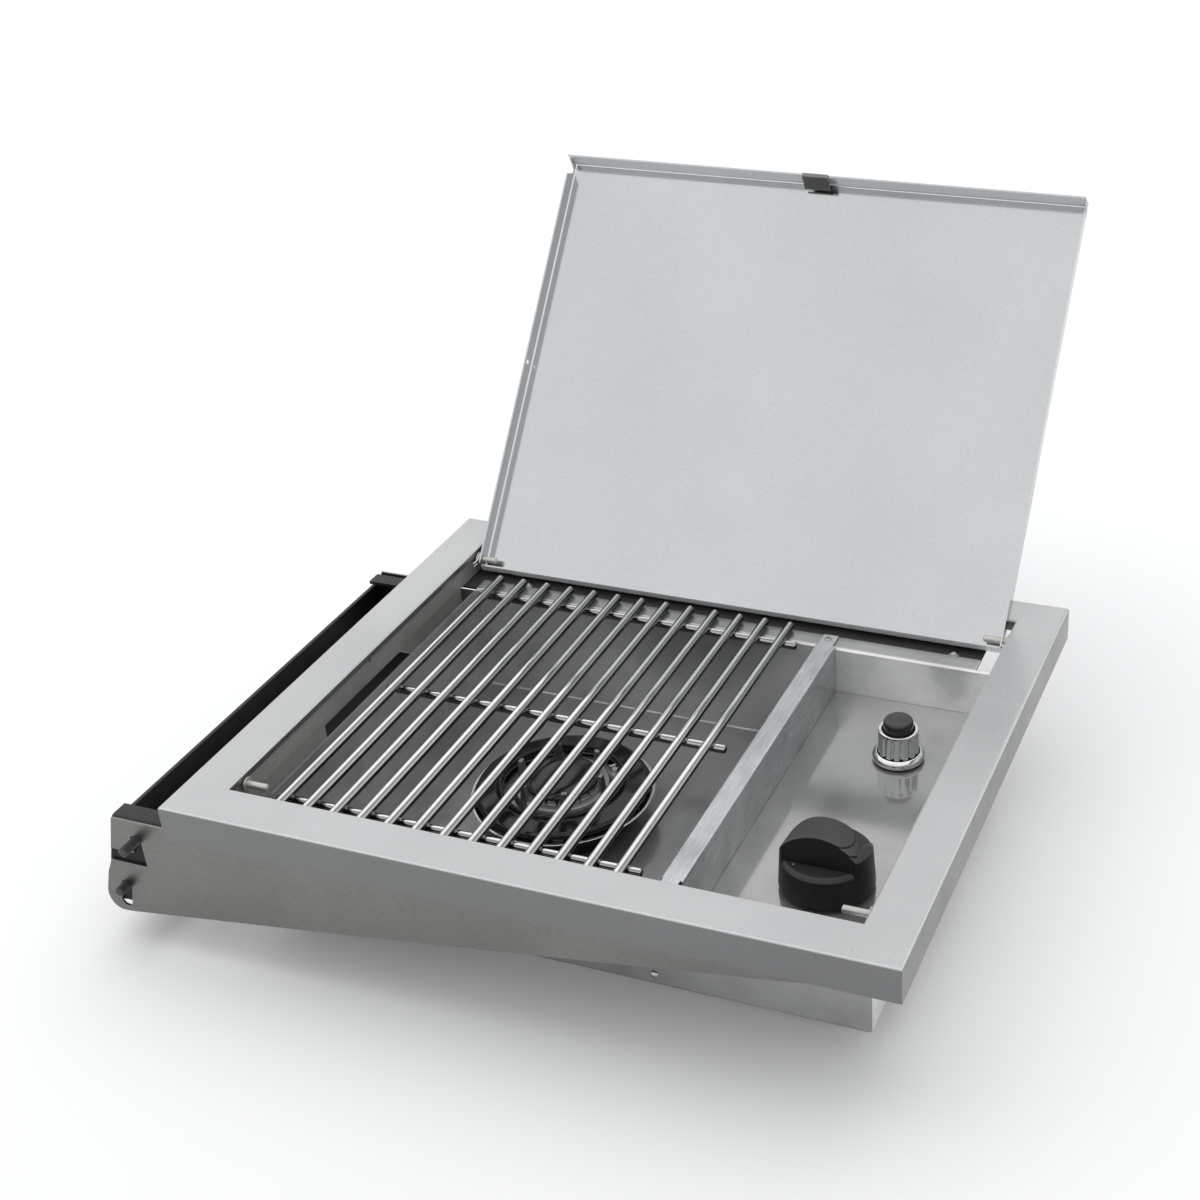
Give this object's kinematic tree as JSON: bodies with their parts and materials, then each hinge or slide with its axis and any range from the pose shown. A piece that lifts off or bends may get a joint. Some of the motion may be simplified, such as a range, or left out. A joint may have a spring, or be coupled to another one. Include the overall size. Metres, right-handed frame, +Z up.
{
  "type": "built in side burner",
  "caption": "Stainless built-in side burner: drop-in frame with hinged lid, bar grate over a round gas burner, knob and push-button igniter, and side wings that hang it on a cart",
  "frame": {"origin": "middle of the mounting bracket's outer face, where the burner meets the cart", "axes": "+X from the bracket towards the control side, +Y from the front border to the lid's hinge side, +Z up"},
  "size_m": [0.4512, 0.4861, 0.3044],
  "materials": {
    "stainless": "fine satin stainless sheet",
    "polished": "bright, softly mirroring stainless sheet",
    "galvanised": "zinc-coated, dull and slightly mottled",
    "black_steel": "black paint, satin",
    "enamel": "glossy black vitreous enamel",
    "cast_aluminium": "bare casting, dull",
    "pipe_aluminium": "drawn tube",
    "chrome": "bright plated",
    "black_plastic": "fine texture",
    "brass": "machined",
    "ceramic": "glazed porcelain",
    "lead_cover": "smooth lead cover"
  },
  "bodies": {
    "housing": {"top_frame": "stainless", "left_side_panel": "stainless", "right_side_panel": "stainless", "front_wing": "stainless", "rear_wing": "stainless", "mounting_bracket": "black_steel", "front_rail": "black_steel", "rear_rail": "black_steel", "front_upper_bolt": "galvanised", "front_lower_bolt": "galvanised", "rear_upper_bolt": "galvanised", "rear_lower_bolt": "galvanised", "divider_channel": "galvanised", "burner_box": "polished", "control_panel": "polished", "burner_bowl": "polished", "hinge_pin_left": "chrome", "hinge_pin_right": "chrome", "rest_pin_left": "chrome", "rest_pin_right": "chrome", "hairpin_clip": "chrome", "cooking_grate": "chrome", "igniter_bezel": "chrome", "igniter_barrel": "chrome", "burner_base": "cast_aluminium", "burner_head": "cast_aluminium", "gas_feed_pipe": "pipe_aluminium", "trim_ring": "enamel", "burner_cap": "enamel", "jet_holder": "brass", "gas_jet": "brass", "gas_valve_body": "brass", "gas_inlet_fitting": "brass", "igniter_body": "black_plastic", "igniter_gasket": "black_plastic", "ignition_electrode": "ceramic", "igniter_lead": "lead_cover"},
    "lid": {"lid_pan": "stainless", "lid_tab": "stainless"},
    "knob_carrier": {"valve_spring_seat": "brass"},
    "knob": {"valve_stem": "brass", "control_knob": "black_plastic"},
    "igniter_plunger": {"igniter_button": "black_plastic"}
  },
  "joints": [
    {"name": "lid_hinge", "type": "hinge", "parent": "housing", "child": "lid", "pos_m": [0.2435, 0.1571, 0.041], "axis": [1, 0, 0], "range_deg": [0, 129.23]},
    {"name": "knob_push", "type": "slide", "parent": "housing", "child": "knob_carrier", "axis": [0, 0, -1], "range_m": [0, 0.0025], "stiffness_N_per_m": 1500, "springref_m": -0.002},
    {"name": "knob_turn", "type": "hinge", "parent": "knob_carrier", "child": "knob", "pos_m": [0.3721, -0.0385, 0.0015], "axis": [0, 0, 1], "range_deg": [0, 210]},
    {"name": "igniter_push", "type": "slide", "parent": "housing", "child": "igniter_plunger", "axis": [0, 0, -1], "range_m": [0, 0.004], "stiffness_N_per_m": 800, "springref_m": -0.003}
  ]
}
